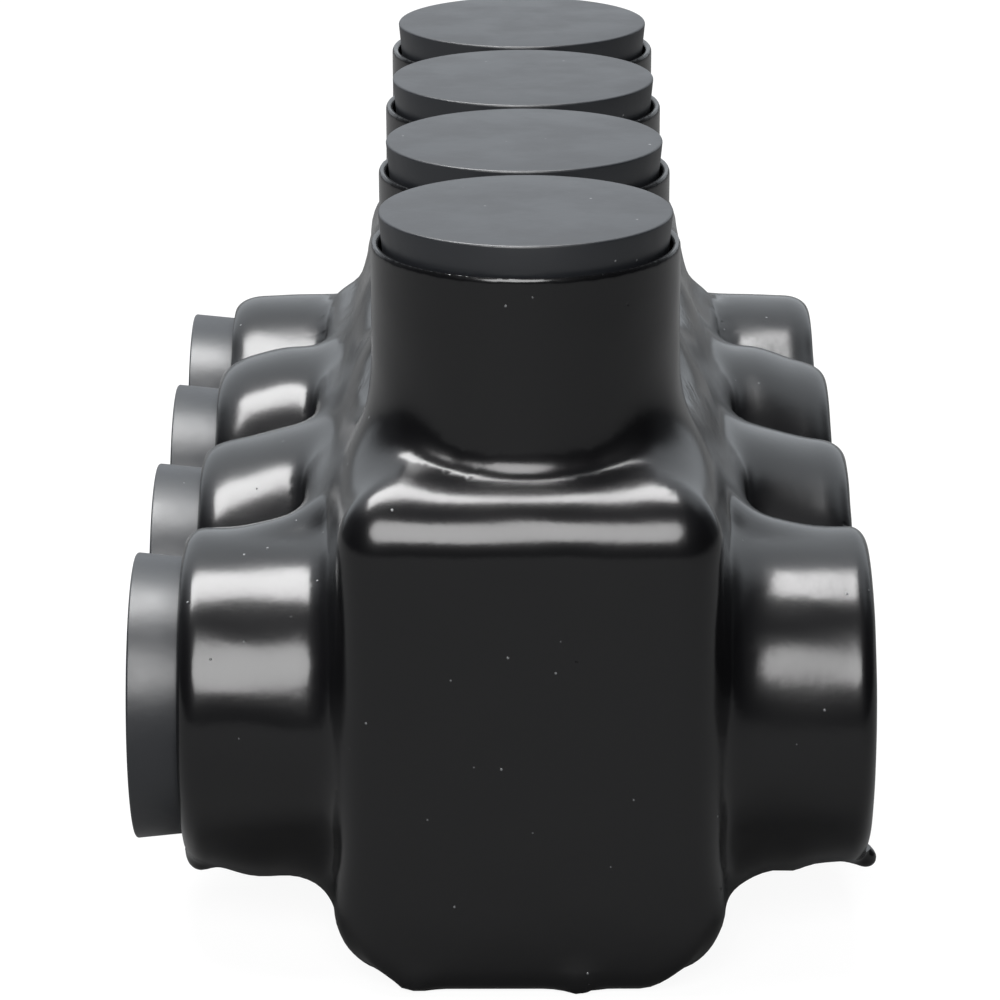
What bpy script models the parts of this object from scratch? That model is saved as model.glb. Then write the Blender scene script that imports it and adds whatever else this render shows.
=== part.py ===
"""Insulated multi-tap connector with four wire ports and entry from both sides.

An aluminium terminal block sits in one dip-moulded insulating jacket. Each port is a bore
right through the block along X, clamped by a socket set screw from above. The jacket forms
a collar around every opening: four on top for the screws and four on each side for wires.
Tapered rubber plugs close the top collars and the wire collars of the -X side, and the
wire collars of the +X side are open.

Frame: metres, +X towards the open wire ports, +Y along the row of ports, +Z up. The origin
is at the centre of the flat underside.
"""

import math

import bmesh
import bpy
from mathutils import Matrix, Vector

# Ports
PORT_COUNT = 4
WIRE_BORE_RADIUS = 0.0096
INSULATION_ROOM = 0.0029
WEB_BETWEEN_COLLARS = 0.0013

# Terminal block
METAL_BESIDE_SCREW = 0.0050
METAL_UNDER_BORE = 0.0093
METAL_OVER_BORE = 0.0122
METAL_AT_END = 0.0074
BLOCK_EDGE_RADIUS = 0.0010
BLOCK_FOOT_RADIUS = 0.0038
BORE_CHAMFER = 0.0006

# Set screws
SCREW_SIDE_ROOM = 0.0006
SCREW_LENGTH = 0.0190
SCREW_POINT_CHAMFER = 0.0025
SCREW_TOP_CHAMFER = 0.0008
HEX_ACROSS_FLATS = 0.00794
HEX_DEPTH = 0.0085
SCREW_LIFT = 0.0002

# Jacket
SKIN_THICKNESS = 0.0022
SKIN_EDGE_RADIUS = 0.0050
SKIN_FOOT_RADIUS = 0.0066
FOOT_TRIM = 0.0003
FIT_GAP = 0.0003
COLLAR_MOUTH_EASE = 0.00045
TOP_COLLAR_HEIGHT = 0.0183
TOP_COLLAR_WALL = 0.0009
TOP_COLLAR_FOOT_HEIGHT = 0.0065
TOP_COLLAR_FOOT_SPREAD = 0.0026
SIDE_COLLAR_LENGTH = 0.0140
SIDE_COLLAR_WALL = 0.0023
SIDE_COLLAR_FLARE_LENGTH = 0.0120
SIDE_COLLAR_FLARE = 0.0029
SIDE_COLLAR_FLARE_RISE = 0.0010
SIDE_LIP_ROUND = 0.0022
SIDE_LIP_TRIM = 0.0005
SHOULDER_WIDTH = 0.0040
SHOULDER_DROP = 0.0066
SHOULDER_LIFT = 0.0075
SHOULDER_PAST_PORT = 0.0090
SHOULDER_ROUND = 0.0022

# Plugs
PLUG_LENGTH = 0.0120
PLUG_SHOULDER = 0.0055
PLUG_TAPER = 0.00031
PLUG_EDGE = 0.00015
PLUG_STEM_STEP = 0.0005
PLUG_RIB_HEIGHT = 0.0004
PLUG_RIB_COUNT = 2
PLUG_NOSE = 0.0009
PLUG_WALL = 0.0036
PLUG_DISH_DEPTH = 0.0025
TOP_PLUG_PROUD = 0.00275
SIDE_PLUG_PROUD = 0.0045

# How finely the skin and the round pieces are faceted
SKIN_VOXEL = 0.0011
SKIN_SMOOTHING = 12
SKIN_FACE_SHARE = 0.052
ROUND_SIDES = 28
CUT_THROUGH = 0.002
TRIM_ALLOWANCE = 0.006
MERGE_DISTANCE = 0.00005

# Sizes that follow from the ones above
COLLAR_BORE_RADIUS = WIRE_BORE_RADIUS + INSULATION_ROOM
COLLAR_MOUTH_RADIUS = COLLAR_BORE_RADIUS + COLLAR_MOUTH_EASE
PORT_PITCH = 2 * COLLAR_MOUTH_RADIUS + WEB_BETWEEN_COLLARS
PORT_YS = [(i - (PORT_COUNT - 1) / 2) * PORT_PITCH for i in range(PORT_COUNT)]
SCREW_RADIUS = WIRE_BORE_RADIUS - SCREW_SIDE_ROOM
SCREW_HOLE_RADIUS = SCREW_RADIUS + FIT_GAP
SKIN_OFFSET = FIT_GAP + SKIN_THICKNESS
BLOCK_SIDE_X = SCREW_HOLE_RADIUS + METAL_BESIDE_SCREW
BLOCK_END_Y = PORT_YS[-1] + WIRE_BORE_RADIUS + METAL_AT_END
BLOCK_BOTTOM_Z = SKIN_OFFSET - FOOT_TRIM
PORT_AXIS_Z = BLOCK_BOTTOM_Z + METAL_UNDER_BORE + WIRE_BORE_RADIUS
BORE_TOP_Z = PORT_AXIS_Z + WIRE_BORE_RADIUS
BLOCK_TOP_Z = BORE_TOP_Z + METAL_OVER_BORE
SKIN_SIDE_X = BLOCK_SIDE_X + SKIN_OFFSET
SKIN_TOP_Z = BLOCK_TOP_Z + SKIN_OFFSET
TOP_RIM_Z = SKIN_TOP_Z + TOP_COLLAR_HEIGHT
SIDE_RIM_X = SKIN_SIDE_X + SIDE_COLLAR_LENGTH
TOP_COLLAR_RADIUS = COLLAR_MOUTH_RADIUS + TOP_COLLAR_WALL
SIDE_COLLAR_RADIUS = COLLAR_MOUTH_RADIUS + SIDE_COLLAR_WALL
PLUG_RIM_RADIUS = COLLAR_MOUTH_RADIUS - FIT_GAP

# Plain colours, roughness and metallic value of the finished surfaces
FINISHES = {
    "jacket_vinyl": ((0.012, 0.012, 0.013, 1), 0.22, 0.0),
    "plug_rubber": ((0.045, 0.048, 0.053, 1), 0.55, 0.0),
    "block_aluminium": ((0.72, 0.73, 0.74, 1), 0.38, 1.0),
    "screw_aluminium": ((0.60, 0.61, 0.63, 1), 0.30, 1.0),
}
SMOOTH_UNDER = math.radians(35)
SHARP_OVER = math.radians(60)


def clear_scene():
    for obj in list(bpy.data.objects):
        bpy.data.objects.remove(obj)


def new_collection(name):
    made = bpy.data.collections.new(name)
    bpy.context.scene.collection.children.link(made)
    return made


def material(name):
    """The Principled material of that name, made once."""
    found = bpy.data.materials.get(name)
    if found:
        return found
    colour, roughness, metallic = FINISHES[name]
    made = bpy.data.materials.new(name)
    made.use_nodes = True
    shader = made.node_tree.nodes["Principled BSDF"]
    shader.inputs["Base Color"].default_value = colour
    shader.inputs["Roughness"].default_value = roughness
    shader.inputs["Metallic"].default_value = metallic
    return made


def add_object(name, bm, collection, finish=None):
    """An object that holds the bmesh. Without a finish it is a cutter."""
    mesh = bpy.data.meshes.new(name)
    bmesh.ops.recalc_face_normals(bm, faces=bm.faces)
    bm.to_mesh(mesh)
    bm.free()
    obj = bpy.data.objects.new(name, mesh)
    collection.objects.link(obj)
    if finish:
        mesh.materials.append(material(finish))
        mesh.shade_smooth()
        mesh.set_sharp_from_angle(angle=SMOOTH_UNDER)
    else:
        obj.hide_render = True
        obj.display_type = "WIRE"
    return obj


def cut(obj, cutter):
    """Takes the cutter out of the object with an exact Boolean."""
    modifier = obj.modifiers.new("cut_" + cutter.name, "BOOLEAN")
    modifier.operation = "DIFFERENCE"
    modifier.solver = "EXACT"
    modifier.object = cutter


def add_cone(bm, start, end, radius_start, radius_end, sides=ROUND_SIDES):
    """A closed cone or cylinder between two points. Returns its vertices."""
    start, end = Vector(start), Vector(end)
    axis = end - start
    turn = axis.to_track_quat("Z", "X").to_matrix().to_4x4()
    return bmesh.ops.create_cone(
        bm,
        cap_ends=True,
        segments=sides,
        radius1=radius_start,
        radius2=radius_end,
        depth=axis.length,
        matrix=Matrix.Translation((start + end) / 2) @ turn,
    )["verts"]


def add_box(bm, low, high):
    """A box between two opposite corners. Returns its vertices."""
    low, high = Vector(low), Vector(high)
    place = Matrix.Translation((low + high) / 2) @ Matrix.Diagonal((*(high - low), 1))
    return bmesh.ops.create_cube(bm, size=1, matrix=place)["verts"]


def round_edges(bm, edges, radius, segments):
    return bmesh.ops.bevel(
        bm, geom=list(edges), offset=radius, segments=segments, profile=0.5, affect="EDGES"
    )["faces"]


def add_block_form(bm, offset, edge_radius, foot_radius):
    """The terminal block's outline grown by an offset, with two well-rounded edges at its foot.

    It goes into an empty bmesh, because it rounds every sharp edge that it finds.
    """
    half = Vector((BLOCK_SIDE_X + offset, BLOCK_END_Y + offset, 0))
    low = Vector((0, 0, BLOCK_BOTTOM_Z - offset)) - half
    high = Vector((0, 0, BLOCK_TOP_Z + offset)) + half
    add_box(bm, low, high)
    foot = [
        edge
        for edge in bm.edges
        if edge.calc_length() > 2 * half.x and all(v.co.z < high.z - FIT_GAP for v in edge.verts)
    ]
    round_edges(bm, foot, foot_radius, 6)
    round_edges(bm, [e for e in bm.edges if e.calc_face_angle(0) > SHARP_OVER], edge_radius, 3)


def make_block(parts, cutters):
    """The terminal block: wire bores along X that meet the screw holes from above."""
    bm = bmesh.new()
    add_block_form(bm, 0, BLOCK_EDGE_RADIUS, BLOCK_FOOT_RADIUS)
    block = add_object("terminal_block", bm, parts, "block_aluminium")
    holes = bmesh.new()
    end_x = BLOCK_SIDE_X + CUT_THROUGH
    for y in PORT_YS:
        left, right = (-end_x, y, PORT_AXIS_Z), (end_x, y, PORT_AXIS_Z)
        add_cone(holes, left, right, WIRE_BORE_RADIUS, WIRE_BORE_RADIUS)
    cut(block, add_object("wire_bores", holes, cutters))
    holes = bmesh.new()
    for y in PORT_YS:
        foot, top = (0, y, PORT_AXIS_Z), (0, y, BLOCK_TOP_Z + CUT_THROUGH)
        add_cone(holes, foot, top, SCREW_HOLE_RADIUS, SCREW_HOLE_RADIUS)
    cut(block, add_object("screw_holes", holes, cutters))
    chamfers = bmesh.new()
    for y in PORT_YS:
        for side in (-1, 1):
            mouth = (side * BLOCK_SIDE_X, y, PORT_AXIS_Z)
            add_chamfer(chamfers, mouth, (side, 0, 0), WIRE_BORE_RADIUS)
        add_chamfer(chamfers, (0, y, BLOCK_TOP_Z), (0, 0, 1), SCREW_HOLE_RADIUS)
    cut(block, add_object("bore_chamfers", chamfers, cutters))


def add_chamfer(bm, mouth, outward, radius):
    """A cone that breaks the edge of a round hole at its mouth."""
    mouth, outward = Vector(mouth), Vector(outward)
    inner, outer = -2 * BORE_CHAMFER, BORE_CHAMFER
    add_cone(
        bm,
        mouth + outward * inner,
        mouth + outward * outer,
        radius + BORE_CHAMFER + inner,
        radius + BORE_CHAMFER + outer,
    )


def add_top_collar(bm, y):
    """A screw collar with a spreading foot, from inside the block form to above its rim."""
    above_rim = TOP_RIM_Z + TRIM_ALLOWANCE
    add_cone(bm, (0, y, PORT_AXIS_Z), (0, y, above_rim), TOP_COLLAR_RADIUS, TOP_COLLAR_RADIUS)
    foot_top = SKIN_TOP_Z + TOP_COLLAR_FOOT_HEIGHT
    slope = TOP_COLLAR_FOOT_SPREAD / TOP_COLLAR_FOOT_HEIGHT
    foot_bottom = SKIN_TOP_Z - SKIN_EDGE_RADIUS / 2
    foot_radius = TOP_COLLAR_RADIUS + slope * (foot_top - foot_bottom)
    add_cone(bm, (0, y, foot_bottom), (0, y, foot_top), foot_radius, TOP_COLLAR_RADIUS)


def add_side_collars(bm, y):
    """The two wire collars of a port: one bar with rounded ends, and a flare at each side.

    The flare leans up towards the body, as the skin runs down from the shoulder.
    """
    end_x = SIDE_RIM_X + SIDE_LIP_TRIM
    left, right = (-end_x, y, PORT_AXIS_Z), (end_x, y, PORT_AXIS_Z)
    verts = add_cone(bm, left, right, SIDE_COLLAR_RADIUS, SIDE_COLLAR_RADIUS)
    edges = {edge for vert in verts for edge in vert.link_edges}
    lips = [edge for edge in edges if edge.calc_length() < end_x]
    round_edges(bm, lips, SIDE_LIP_ROUND, 3)
    flare_x = SKIN_SIDE_X + SIDE_COLLAR_FLARE_LENGTH
    slope = SIDE_COLLAR_FLARE / SIDE_COLLAR_FLARE_LENGTH
    inner_x = BLOCK_SIDE_X
    inner_radius = SIDE_COLLAR_RADIUS + slope * (flare_x - inner_x)
    inner_z = PORT_AXIS_Z + SIDE_COLLAR_FLARE_RISE
    for side in (-1, 1):
        inner, outer = (side * inner_x, y, inner_z), (side * flare_x, y, PORT_AXIS_Z)
        add_cone(bm, inner, outer, inner_radius, SIDE_COLLAR_RADIUS)


def add_shoulders(bm):
    """The ledge that the skin makes along the block's sides, between its side collars."""
    half = Vector((SKIN_SIDE_X + SHOULDER_WIDTH, PORT_YS[-1] + SHOULDER_PAST_PORT, 0))
    verts = add_box(
        bm,
        Vector((0, 0, SHOULDER_LIFT)) - half,
        Vector((0, 0, SKIN_TOP_Z - SHOULDER_DROP)) + half,
    )
    round_edges(bm, {e for v in verts for e in v.link_edges}, SHOULDER_ROUND, 3)


def make_skin_blank(parts):
    """The jacket before its hollows are cut: block and collars run together like a dipped skin."""
    bm = bmesh.new()
    add_block_form(bm, SKIN_OFFSET, SKIN_EDGE_RADIUS, SKIN_FOOT_RADIUS)
    add_shoulders(bm)
    for y in PORT_YS:
        add_top_collar(bm, y)
        add_side_collars(bm, y)
    blank = add_object("insulating_jacket", bm, parts, "jacket_vinyl")
    remesh = blank.modifiers.new("run_together", "REMESH")
    remesh.mode = "VOXEL"
    remesh.voxel_size = SKIN_VOXEL
    remesh.use_smooth_shade = True
    smooth = blank.modifiers.new("flow", "SMOOTH")
    smooth.factor = 0.5
    smooth.iterations = SKIN_SMOOTHING
    thin = blank.modifiers.new("fewer_faces", "DECIMATE")
    thin.decimate_type = "COLLAPSE"
    thin.ratio = SKIN_FACE_SHARE
    return blank


def make_jacket(parts, cutters):
    """The dip-moulded jacket: hollowed for the block, bored at every collar, flat underneath."""
    jacket = make_skin_blank(parts)
    core = bmesh.new()
    add_block_form(core, FIT_GAP, BLOCK_EDGE_RADIUS, BLOCK_FOOT_RADIUS)
    cut(jacket, add_object("block_cavity", core, cutters))
    bores = bmesh.new()
    side_length = SIDE_RIM_X - BLOCK_SIDE_X
    top_length = TOP_RIM_Z - BLOCK_TOP_Z
    for y in PORT_YS:
        for side in (-1, 1):
            base = (side * BLOCK_SIDE_X, y, PORT_AXIS_Z)
            add_collar_bore(bores, base, (side, 0, 0), side_length)
        add_collar_bore(bores, (0, y, BLOCK_TOP_Z), (0, 0, 1), top_length)
    cut(jacket, add_object("collar_bores", bores, cutters))
    trims = bmesh.new()
    add_trim(trims, (0, 0, 1), TOP_RIM_Z)
    add_trim(trims, (0, 0, -1), 0)
    for side in (-1, 1):
        add_trim(trims, (side, 0, 0), SIDE_RIM_X)
    cut(jacket, add_object("rim_trims", trims, cutters))


def add_collar_bore(bm, base, outward, length):
    """The drafted hollow of one collar, from inside the block's face to beyond the rim."""
    base, outward = Vector(base), Vector(outward)
    slope = COLLAR_MOUTH_EASE / length
    inner = -CUT_THROUGH
    outer = length + CUT_THROUGH
    add_cone(
        bm,
        base + outward * inner,
        base + outward * outer,
        COLLAR_BORE_RADIUS + slope * inner,
        COLLAR_BORE_RADIUS + slope * outer,
    )


def add_trim(bm, outward, distance):
    """A slab that cuts the collars off flat at a distance from the origin."""
    outward = Vector(outward)
    across = Vector([0 if a else 2 * BLOCK_END_Y for a in outward])
    add_box(bm, outward * distance - across, outward * (distance + 2 * TRIM_ALLOWANCE) + across)


def turned(name, profile, collection, finish):
    """A turned solid from (radius, height) pairs that run down its outer side, top to bottom."""
    mesh = bpy.data.meshes.new(name)
    points = [(radius, 0, height) for radius, height in profile]
    mesh.from_pydata(points, [(i, i + 1) for i in range(len(points) - 1)], [])
    mesh.materials.append(material(finish))
    obj = bpy.data.objects.new(name, mesh)
    collection.objects.link(obj)
    screw = obj.modifiers.new("turn", "SCREW")
    screw.steps = screw.render_steps = ROUND_SIDES
    screw.use_merge_vertices = True
    screw.merge_threshold = MERGE_DISTANCE
    screw.use_smooth_shade = True
    return obj


def plug_profile(proud):
    """Half section of a plug, outer face at height 0 and nose down, to stand proud of its rim."""
    top = PLUG_RIM_RADIUS + PLUG_TAPER
    shoulder = PLUG_RIM_RADIUS - PLUG_TAPER * (PLUG_SHOULDER - proud) / proud
    stem = shoulder - PLUG_STEM_STEP
    rib_space = (PLUG_LENGTH - PLUG_NOSE - PLUG_SHOULDER) / (PLUG_RIB_COUNT + 1)
    points = [
        (0, 0),
        (top - PLUG_EDGE, 0),
        (top, -PLUG_EDGE),
        (shoulder, PLUG_STEM_STEP - PLUG_SHOULDER),
        (stem, -PLUG_SHOULDER),
    ]
    for i in range(PLUG_RIB_COUNT):
        middle = -PLUG_SHOULDER - (i + 1) * rib_space
        points += [
            (stem, middle + rib_space / 4),
            (stem + PLUG_RIB_HEIGHT, middle),
            (stem, middle - rib_space / 4),
        ]
    return points + [
        (stem, PLUG_NOSE - PLUG_LENGTH),
        (stem - PLUG_NOSE, -PLUG_LENGTH),
        (stem - PLUG_WALL, -PLUG_LENGTH),
        (stem - PLUG_WALL, PLUG_DISH_DEPTH - PLUG_LENGTH),
        (0, PLUG_DISH_DEPTH - PLUG_LENGTH),
    ]


def make_plugs(parts):
    """One plug in every top collar and in every wire collar of the -X side."""
    for i, y in enumerate(PORT_YS, 1):
        cap = turned(f"screw_plug_{i}", plug_profile(TOP_PLUG_PROUD), parts, "plug_rubber")
        cap.location = (0, y, TOP_RIM_Z + TOP_PLUG_PROUD)
        entry = turned(f"entry_plug_{i}", plug_profile(SIDE_PLUG_PROUD), parts, "plug_rubber")
        entry.location = (-SIDE_RIM_X - SIDE_PLUG_PROUD, y, PORT_AXIS_Z)
        entry.rotation_euler.y = -math.pi / 2


def screw_profile():
    """Half section of a set screw with its point at height 0."""
    return [
        (0, SCREW_LENGTH),
        (SCREW_RADIUS - SCREW_TOP_CHAMFER, SCREW_LENGTH),
        (SCREW_RADIUS, SCREW_LENGTH - SCREW_TOP_CHAMFER),
        (SCREW_RADIUS, SCREW_POINT_CHAMFER),
        (SCREW_RADIUS - SCREW_POINT_CHAMFER, 0),
        (0, 0),
    ]


def make_screws(parts, cutters):
    """Socket set screws, backed out so that the wire bores are clear."""
    hex_radius = HEX_ACROSS_FLATS / math.sqrt(3)
    for i, y in enumerate(PORT_YS, 1):
        screw = turned(f"set_screw_{i}", screw_profile(), parts, "screw_aluminium")
        screw.location = (0, y, BORE_TOP_Z + SCREW_LIFT)
        top = screw.location.z + SCREW_LENGTH
        socket = bmesh.new()
        floor, mouth = (0, y, top - HEX_DEPTH), (0, y, top + CUT_THROUGH)
        add_cone(socket, floor, mouth, hex_radius, hex_radius, sides=6)
        cut(screw, add_object(f"hex_socket_{i}", socket, cutters))


def main():
    clear_scene()
    parts = new_collection("multi_tap_connector")
    cutters = new_collection("cutters")
    make_block(parts, cutters)
    make_jacket(parts, cutters)
    make_screws(parts, cutters)
    make_plugs(parts)


main()
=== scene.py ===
"""Looks of the insulated multi-tap connector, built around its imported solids.

The dipped jacket is one flowing surface. A coarse union of boxes and cones is remeshed, and its
vertices are then moved onto a smooth blend of the distances to those forms, so that block and
collars run into each other as dipped vinyl does. Ripples and drips are part of that blend, and
the hollows are cut last. Wrinkles, dust and pits are in the materials.

Lengths are in millimetres unless a comment says otherwise, and meshes are made in metres.
"""

import math

import bmesh
import bpy
import numpy as np
from mathutils import Matrix, Vector


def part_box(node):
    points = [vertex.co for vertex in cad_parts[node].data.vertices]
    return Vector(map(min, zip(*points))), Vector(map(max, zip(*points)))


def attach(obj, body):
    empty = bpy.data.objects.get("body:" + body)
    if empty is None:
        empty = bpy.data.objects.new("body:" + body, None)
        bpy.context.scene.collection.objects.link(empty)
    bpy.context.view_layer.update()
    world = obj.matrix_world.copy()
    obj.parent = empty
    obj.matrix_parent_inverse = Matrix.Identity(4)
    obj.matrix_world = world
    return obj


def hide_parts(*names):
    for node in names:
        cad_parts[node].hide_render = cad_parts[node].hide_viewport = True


MM = 0.001

# The photograph's camera, in degrees and in millimetres from the middle of the row's axis
CAMERA_FROM_AXIS = (-1.776, -421.0, 140.25)
CAMERA_TILT = 90 - 17.75
CAMERA_TURN = 0.078
CAMERA_ROLL = -0.113
CAMERA_LENS = 160.3

# Jacket
SKIN_OFFSET = 2.5
BODY_TOP_ROUND = 6.0
BODY_TOP_RISE = 0.7
BODY_FOOT_ROUND = 7.3
BODY_FOOT_SPREAD = 0.7
BODY_CORNER_ROUND = 4.0
BODY_END_FOOT_ROUND = 1.8
BODY_FOOT_FLARE = (3, 14)
BODY_SIDE_FADE = 7
BODY_ASIDE = 0.3
LEAN_FROM = 35.0
LEAN_RUN = 7.0
LEAN = 0.2
LEAN_END = 1.5
SHOULDER_WIDTH = 3.6
SHOULDER_PAST_PORT = 1.0
SHOULDER_FOOT = 6.0
SHOULDER_DROP = 7.0
SHOULDER_ROUND = 3.0
SHOULDER_END_ROUND = 4.0
TOP_COLLAR_RADIUS = 13.65
TOP_COLLAR_ROUND = 0.6
TOP_TRIM = 0.2
TOP_FLARE_FROM = 54.0
TOP_FLARE_RUN = 8
TOP_FLARE = 0.001
TOP_COLLAR_ROOT = 5
UNDERSIDE_FLARE = 0.07
UNDERSIDE_SPREAD = 0.55
WAIST_FLARE = 0.02
FLARE_SETBACK = 2.3
RIM_TRIM = 0.06
COLLAR_ROOT = 14.0
COLLAR_FADE = 0.15
TRIM_FROM = 8.0
TRIM_DEPTH = 8.0
TRIM_SPAN = 90.0

# Wire collars by port, nearest first
SIDE_COLLAR_RADII = (15.2, 15.2, 15.2, 14.9)
CREST_LIFTS = (1.3, 1.6, 1.5, 0.1)
CREST_STARTS_PLUGGED = (1.0, -1.0, -4.0, -1.0)
CREST_STARTS_OPEN = (1.0, -1.0, -1.0, -1.0)
CREST_RUNS = (10.0, 9.0, 5.5, 5.0)
CREST_SPREADS = (0.90, 0.45, 0.40, 0.60)
CREST_LEANS = (20, 12, 10, 0)
LIP_LENGTHS_PLUGGED = (2.0, 3.2, 3.4, 3.0)
LIP_LENGTHS_OPEN = (1.5, 2.6, 2.8, 2.6)
LIP_DEPTHS = (1.85, 2.0, 2.0, 1.7)

# How far the fillets between the forms reach, by port where there are several
BLEND_TOP = (9.5, 9.5, 9.5, 6.0)
BLEND_TOP_FRONT = 3.0
BLEND_TOP_NEIGHBOURS = 1.6
FRONT_ALONG = (-13, -6)
FRONT_ACROSS = (5, 12)
BLEND_SIDE = (5.0, 6.0, 6.0, 4.0)
BLEND_SIDE_NEIGHBOURS = (3.0, 3.0, 10.0)
BLEND_SHOULDER = 3.0
LOW_DOWN = (5, 12)
HIGH_UP = (30, 36)
UNDERSIDE_REACH = 0.9
CREST_REACH = 0.3

# Marks that the dipping left: sags as place along X, width and depth, drips as centre and radius
UNDERSIDE_SAGS = ((-24.6, 3.2, 0.90), (24.2, 1.3, 0.45))
DRIPS = (
    (-29.6, -45.5, 7.0, 0.85),
    (31.0, -45.5, 7.0, 0.80),
    (4.5, -59.6, 0.95, 0.90),
    (-9.9, -59.4, 0.70, 0.60),
    (-24.9, -13.6, 5.6, 0.70),
    (22.6, 13.6, 5.6, 0.80),
    (-28.4, 40.8, 5.5, 0.70),
    (8.1, 59.5, 0.90, 0.80),
)
DRIP_BLEND = 2.6
RIPPLE = 0.035
RIPPLES_START = (0.5, 4)
RIPPLES_END = (5, 2)
COLLAR_BORE = 12.5
COLLAR_MOUTH = 12.95
MOUTH_ROUND = 0.42
BLOCK_GAP = 0.3
CLEAR = 1.5
VOXEL = 0.95
RIM_BANDS = ((3.4, 2.4), (1.4, 1.2))
SMOOTHING = 6
RELAXING = 3
PROJECTION_STEPS = 4
GRADIENT_STEP = 0.02
LONGEST_STEP = 1.0

# Turned pieces
TURN_SIDES = 96
PLUG_SHOULDER = 5.5
PLUG_TAPER = 0.50
PLUG_EDGE = 0.22
PLUG_STEM_STEP = 0.5
PLUG_RIB_HEIGHT = 0.4
PLUG_RIB_COUNT = 2
PLUG_NOSE = 0.9
PLUG_WALL = 3.6
PLUG_DISH_DEPTH = 2.5
PLUG_DISH_DRAFT = 0.3
THREAD_PITCH = 1.6
THREAD_DEPTH = 0.6
THREAD_ROW = 0.2
THREAD_SIDES = 72
SCREW_POINT = 2.5
SCREW_TOP_CHAMFER = 0.8
SCREW_GAP = 0.3
HEX_ACROSS_FLATS = 7.94
HEX_DEPTH = 8.5
SOCKET_CHAMFER = 0.7
DRILL_POINT = 1.6
THREAD_FADE = (6, 8)
BORE_RADIUS = 9.6
BORE_CHAMFER = 0.6
BLOCK_EDGE = 1.0
BLOCK_FOOT = 3.8

SHARP_ANGLE = math.radians(38)

# Colours, and the wrinkles beside the screw collars, in metres
VINYL_BLACK = (0.0035, 0.0035, 0.004)
VINYL_DUST = (0.16, 0.165, 0.17)
RUBBER_GREY = (0.0125, 0.014, 0.017)
RUBBER_DUST = (0.20, 0.205, 0.21)
ALUMINIUM_DULL = (0.66, 0.67, 0.69)
ALUMINIUM_BRIGHT = (0.76, 0.77, 0.78)
PLEATS_ASIDE = (0.0140, 0.0155, 0.0170, 0.0190)
PLEATS_UP = (0.036, 0.040, 0.045, 0.050)
PLEATS_END = (0.038, 0.046)
PLEATS_LEAN = math.radians(28)
PLEATS_STRETCH = 8.0

# Stage
LAMP_DISTANCE = 1.1
LAMPS_AIM = (0, 0, 0.03)
FLOOR_SIZE = 4000
FLOOR_BELOW = 0.0001
FLOOR_AS_LIGHT = 0.158
FLOOR_SEEN = 0.09
FLOOR_GLOW = 0.93
SKY_TINT = (0.90, 0.95, 1.0)


def mm_box(node):
    """A solid's lowest and highest corner in millimetres."""
    low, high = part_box(node)
    return low / MM, high / MM


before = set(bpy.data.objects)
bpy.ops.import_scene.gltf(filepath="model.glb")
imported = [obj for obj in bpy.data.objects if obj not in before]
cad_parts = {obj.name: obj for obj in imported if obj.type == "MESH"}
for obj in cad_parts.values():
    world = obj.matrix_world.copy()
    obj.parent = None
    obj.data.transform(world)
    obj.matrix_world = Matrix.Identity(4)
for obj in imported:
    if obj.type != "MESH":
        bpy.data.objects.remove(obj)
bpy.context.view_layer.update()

JACKET_LOW, JACKET_HIGH = mm_box("insulating_jacket")
BLOCK_LOW, BLOCK_HIGH = mm_box("terminal_block")
PORT_COUNT = sum(name.startswith("set_screw_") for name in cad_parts)
PORTS = [sum(c.y for c in mm_box(f"set_screw_{i + 1}")) / 2 for i in range(PORT_COUNT)]
AXIS_Z = sum(c.z for c in mm_box("entry_plug_1")) / 2
RIM_X = JACKET_HIGH.x
RIM_Z = JACKET_HIGH.z
END_Y = JACKET_HIGH.y
BODY_X = BLOCK_HIGH.x + SKIN_OFFSET
BODY_TOP = BLOCK_HIGH.z + SKIN_OFFSET


# Distances to the forms of the skin

def smooth_min(a, b, reach):
    """The smaller of two distances, with a fillet where they differ by less than the reach."""
    near = np.maximum(reach - np.abs(a - b), 0) / reach
    return np.minimum(a, b) - near**3 * reach / 6


def rounded_max(a, b, radius):
    """The larger of two distances, with the edge between their surfaces rounded."""
    a, b = a + radius, b + radius
    outside = np.hypot(np.maximum(a, 0), np.maximum(b, 0))
    return np.minimum(np.maximum(a, b), 0) + outside - radius


def smooth_step(value, low, high):
    share = np.clip((value - low) / (high - low), 0, 1)
    return share * share * (3 - 2 * share)


def along_ports(p, values):
    """A value for each port, run smoothly from port to port along the row."""
    values = np.array(values)
    place = np.clip((p[:, 1] - PORTS[0]) / (PORTS[1] - PORTS[0]), 0, PORT_COUNT - 1)
    before = np.minimum(np.floor(place), PORT_COUNT - 2).astype(int)
    return values[before] + np.diff(values)[before] * smooth_step(place - before, 0, 1)


def body_form(p):
    """The block's own box, whose ends lean in a little below their rounded top edges."""
    z = p[:, 2]
    spread = BODY_FOOT_SPREAD * (1 - smooth_step(z, *BODY_FOOT_FLARE))
    lean = LEAN * np.clip((z - LEAN_FROM) / LEAN_RUN, 0, LEAN_END) ** 2
    beside = np.abs(p[:, 0] - BODY_ASIDE) - BODY_X - spread
    beyond = np.abs(p[:, 1]) - END_Y + lean
    plan = rounded_max(beside, beyond, BODY_CORNER_ROUND)
    top = rounded_max(plan, z - BODY_TOP - BODY_TOP_RISE, BODY_TOP_ROUND)
    at_side = smooth_step(beside - beyond, -BODY_SIDE_FADE, 0)
    foot_round = BODY_END_FOOT_ROUND + (BODY_FOOT_ROUND - BODY_END_FOOT_ROUND) * at_side
    foot = rounded_max(plan, -z, foot_round)
    upward = smooth_step(z, BODY_TOP * 0.3, BODY_TOP * 0.7)
    return np.maximum(foot * (1 - upward) + top * upward, -z)


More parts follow.
